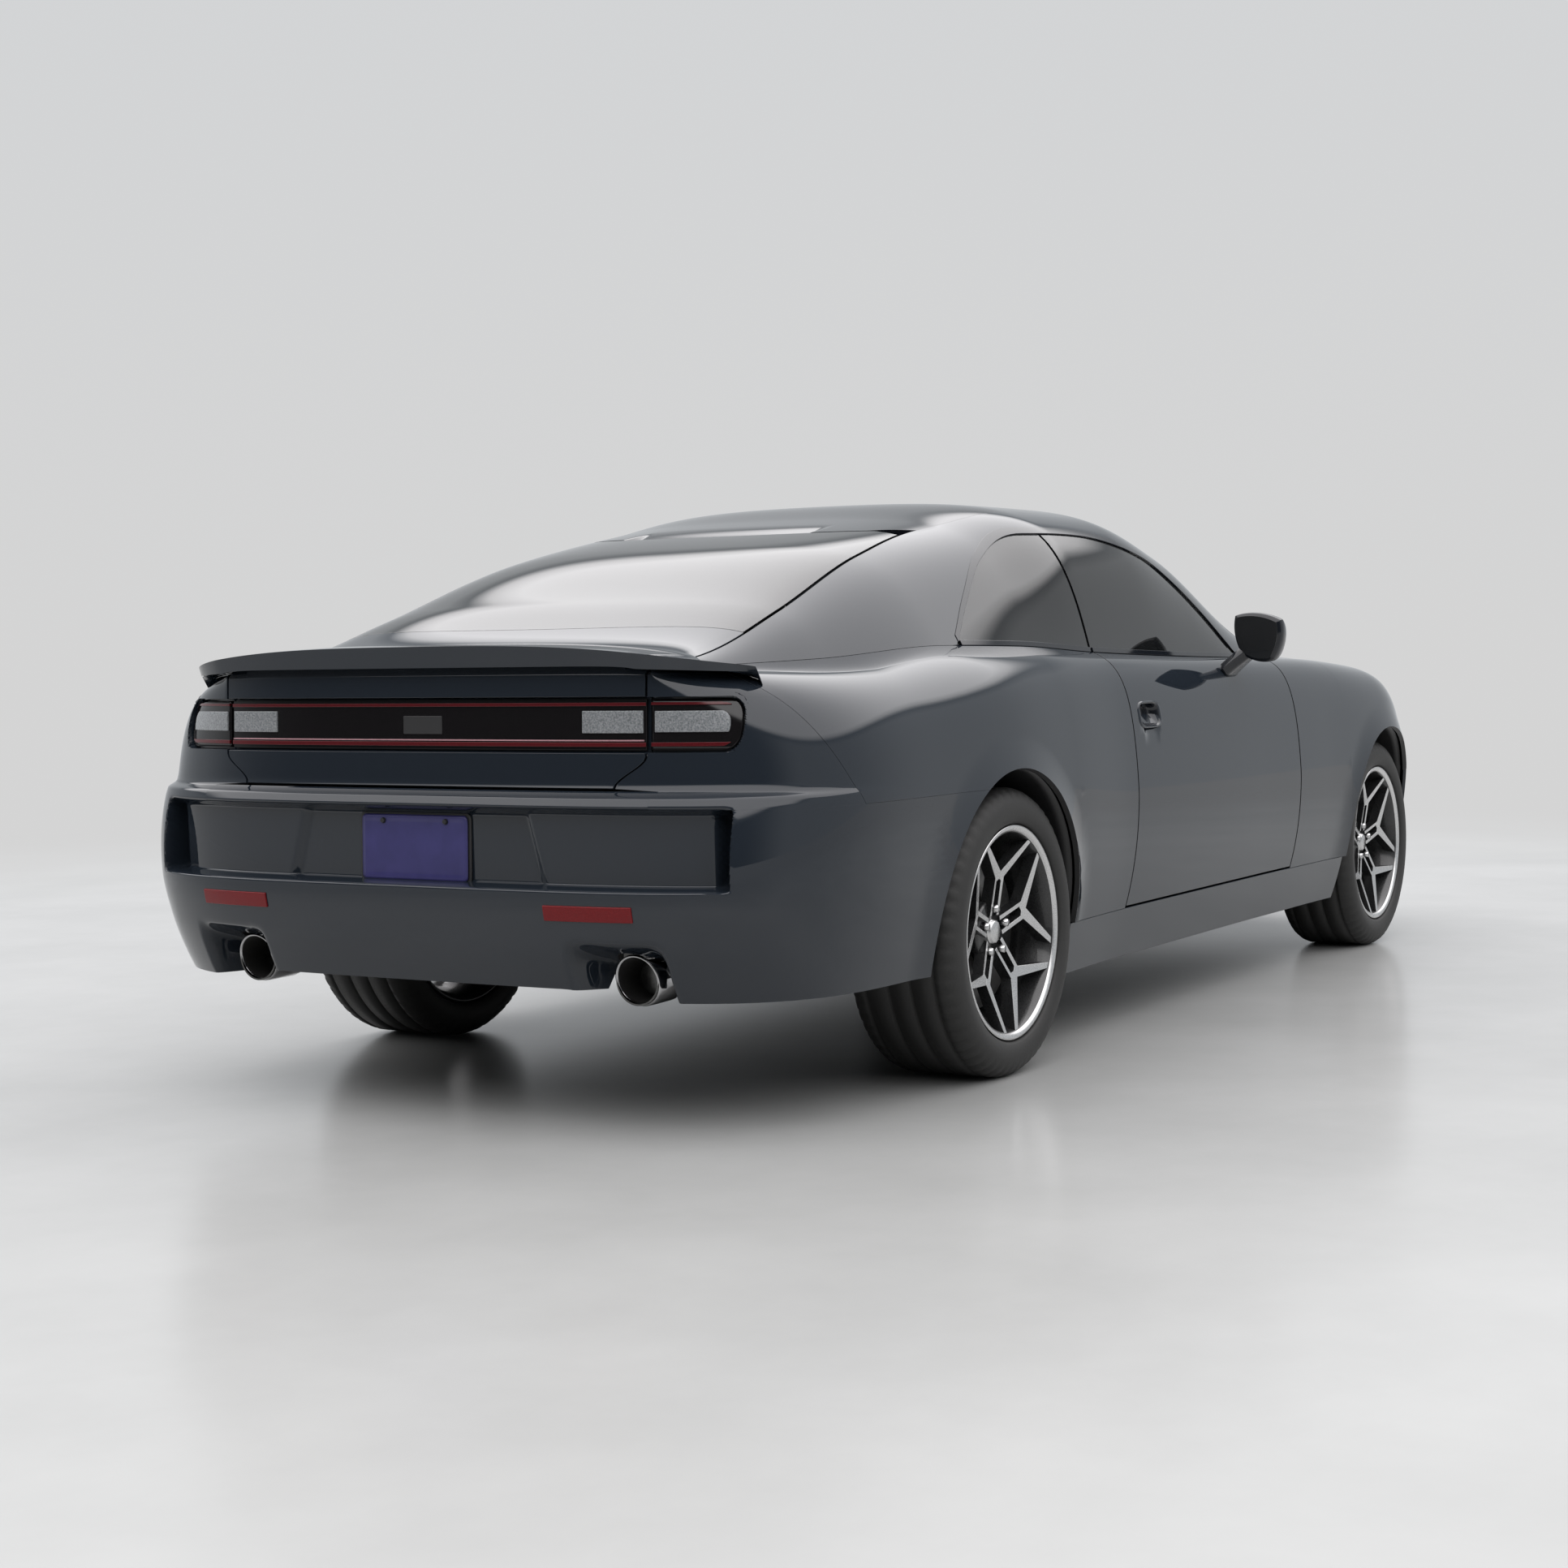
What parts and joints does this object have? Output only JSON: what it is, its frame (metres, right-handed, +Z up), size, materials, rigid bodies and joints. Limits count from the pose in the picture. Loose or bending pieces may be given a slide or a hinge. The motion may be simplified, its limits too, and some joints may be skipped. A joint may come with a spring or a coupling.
{
  "type": "muscle car",
  "caption": "Full-size two-door fastback muscle car with a hollow cabin, opening doors, bonnet and tailgate, steered front wheels and forked-spoke rims",
  "frame": {"origin": "on the ground under the middle of the body box", "axes": "+X points forwards, +Y to the left of the car, +Z up"},
  "size_m": [5.2446, 2.1474, 1.4949],
  "materials": {
    "paint": "gloss clear coat",
    "gloss_black": "gloss",
    "trim": "grained",
    "glass": "dark tint",
    "lamp_red": "smoked lens",
    "lamp_clear": "clear lens",
    "wheel": "machined faces over dark paint",
    "tyre": "rubber",
    "frame_metal": "satin",
    "steel": "polished",
    "seat": "smooth"
  },
  "bodies": {
    "body": {"floor_pan": "frame_metal", "sills": "paint", "fender_left": "paint", "fender_right": "paint", "quarter_left": "paint", "quarter_right": "paint", "side_frame_left": "paint", "side_frame_right": "paint", "roof_panel": "gloss_black", "windshield": "glass", "quarter_windows": "glass", "cowl_panel": "trim", "front_bumper": "paint", "front_grille": "trim", "headlamps": "lamp_clear", "rear_bumper": "paint", "tail_lamps": "lamp_red", "exhaust": "steel", "engine": "frame_metal", "front_subframe": "frame_metal", "rear_axle": "frame_metal", "wheel_liners": "trim", "dashboard": "trim", "seats": "seat"},
    "door_left": {"door_left": "paint", "door_glass_left": "glass", "mirror_left": "gloss_black"},
    "door_right": {"door_right": "paint", "door_glass_right": "glass", "mirror_right": "gloss_black"},
    "tailgate": {"hatch_panel": "paint", "hatch_glass": "glass", "spoiler": "gloss_black", "hatch_lamp": "lamp_red"},
    "bonnet": {"hood": "paint"},
    "steering_wheel": {"steering_wheel": "trim"},
    "steer_left": {"knuckle_left": "frame_metal"},
    "steer_right": {"knuckle_right": "frame_metal"},
    "wheel_front_left": {"rim_front_left": "wheel", "tyre_front_left": "tyre"},
    "wheel_front_right": {"rim_front_right": "wheel", "tyre_front_right": "tyre"},
    "wheel_rear_left": {"rim_rear_left": "wheel", "tyre_rear_left": "tyre"},
    "wheel_rear_right": {"rim_rear_right": "wheel", "tyre_rear_right": "tyre"}
  },
  "joints": [
    {"name": "door_left_swing", "type": "hinge", "parent": "body", "child": "door_left", "pos_m": [0.678, 0.94, 0.62], "axis": [0, 0, -1], "range_deg": [0, 65]},
    {"name": "door_right_swing", "type": "hinge", "parent": "body", "child": "door_right", "pos_m": [0.678, -0.94, 0.62], "axis": [0, 0, 1], "range_deg": [0, 65]},
    {"name": "tailgate_lift", "type": "hinge", "parent": "body", "child": "tailgate", "pos_m": [-1.095, 0, 1.37228], "axis": [0, 1, 0], "range_deg": [0, 56]},
    {"name": "bonnet_lift", "type": "hinge", "parent": "body", "child": "bonnet", "pos_m": [0.942, 0, 0.99706], "axis": [0, -1, 0], "range_deg": [0, 52]},
    {"name": "steer_left_turn", "type": "hinge", "parent": "body", "child": "steer_left", "pos_m": [1.64, 0.77, 0.361], "axis": [0, 0, 1], "range_deg": [-32, 32]},
    {"name": "steer_right_turn", "type": "hinge", "parent": "body", "child": "steer_right", "pos_m": [1.64, -0.77, 0.361], "axis": [0, 0, 1], "range_deg": [-32, 32]},
    {"name": "steering_wheel_turn", "type": "hinge", "parent": "body", "child": "steering_wheel", "pos_m": [0.42, 0.36, 0.745], "axis": [-0.9272, 0, 0.3746], "range_deg": [-416, 416]},
    {"name": "wheel_front_left_spin", "type": "hinge", "parent": "steer_left", "child": "wheel_front_left", "pos_m": [1.64, 0.83, 0.361], "axis": [0, 1, 0], "continuous": true},
    {"name": "wheel_front_right_spin", "type": "hinge", "parent": "steer_right", "child": "wheel_front_right", "pos_m": [1.64, -0.83, 0.361], "axis": [0, 1, 0], "continuous": true},
    {"name": "wheel_rear_left_spin", "type": "hinge", "parent": "body", "child": "wheel_rear_left", "pos_m": [-1.434, 0.845, 0.361], "axis": [0, 1, 0], "continuous": true},
    {"name": "wheel_rear_right_spin", "type": "hinge", "parent": "body", "child": "wheel_rear_right", "pos_m": [-1.434, -0.845, 0.361], "axis": [0, 1, 0], "continuous": true}
  ],
  "couplings": [
    {"joint": "steer_right_turn", "follows": "steer_left_turn", "ratio": 1},
    {"joint": "steering_wheel_turn", "follows": "steer_left_turn", "ratio": 13}
  ]
}
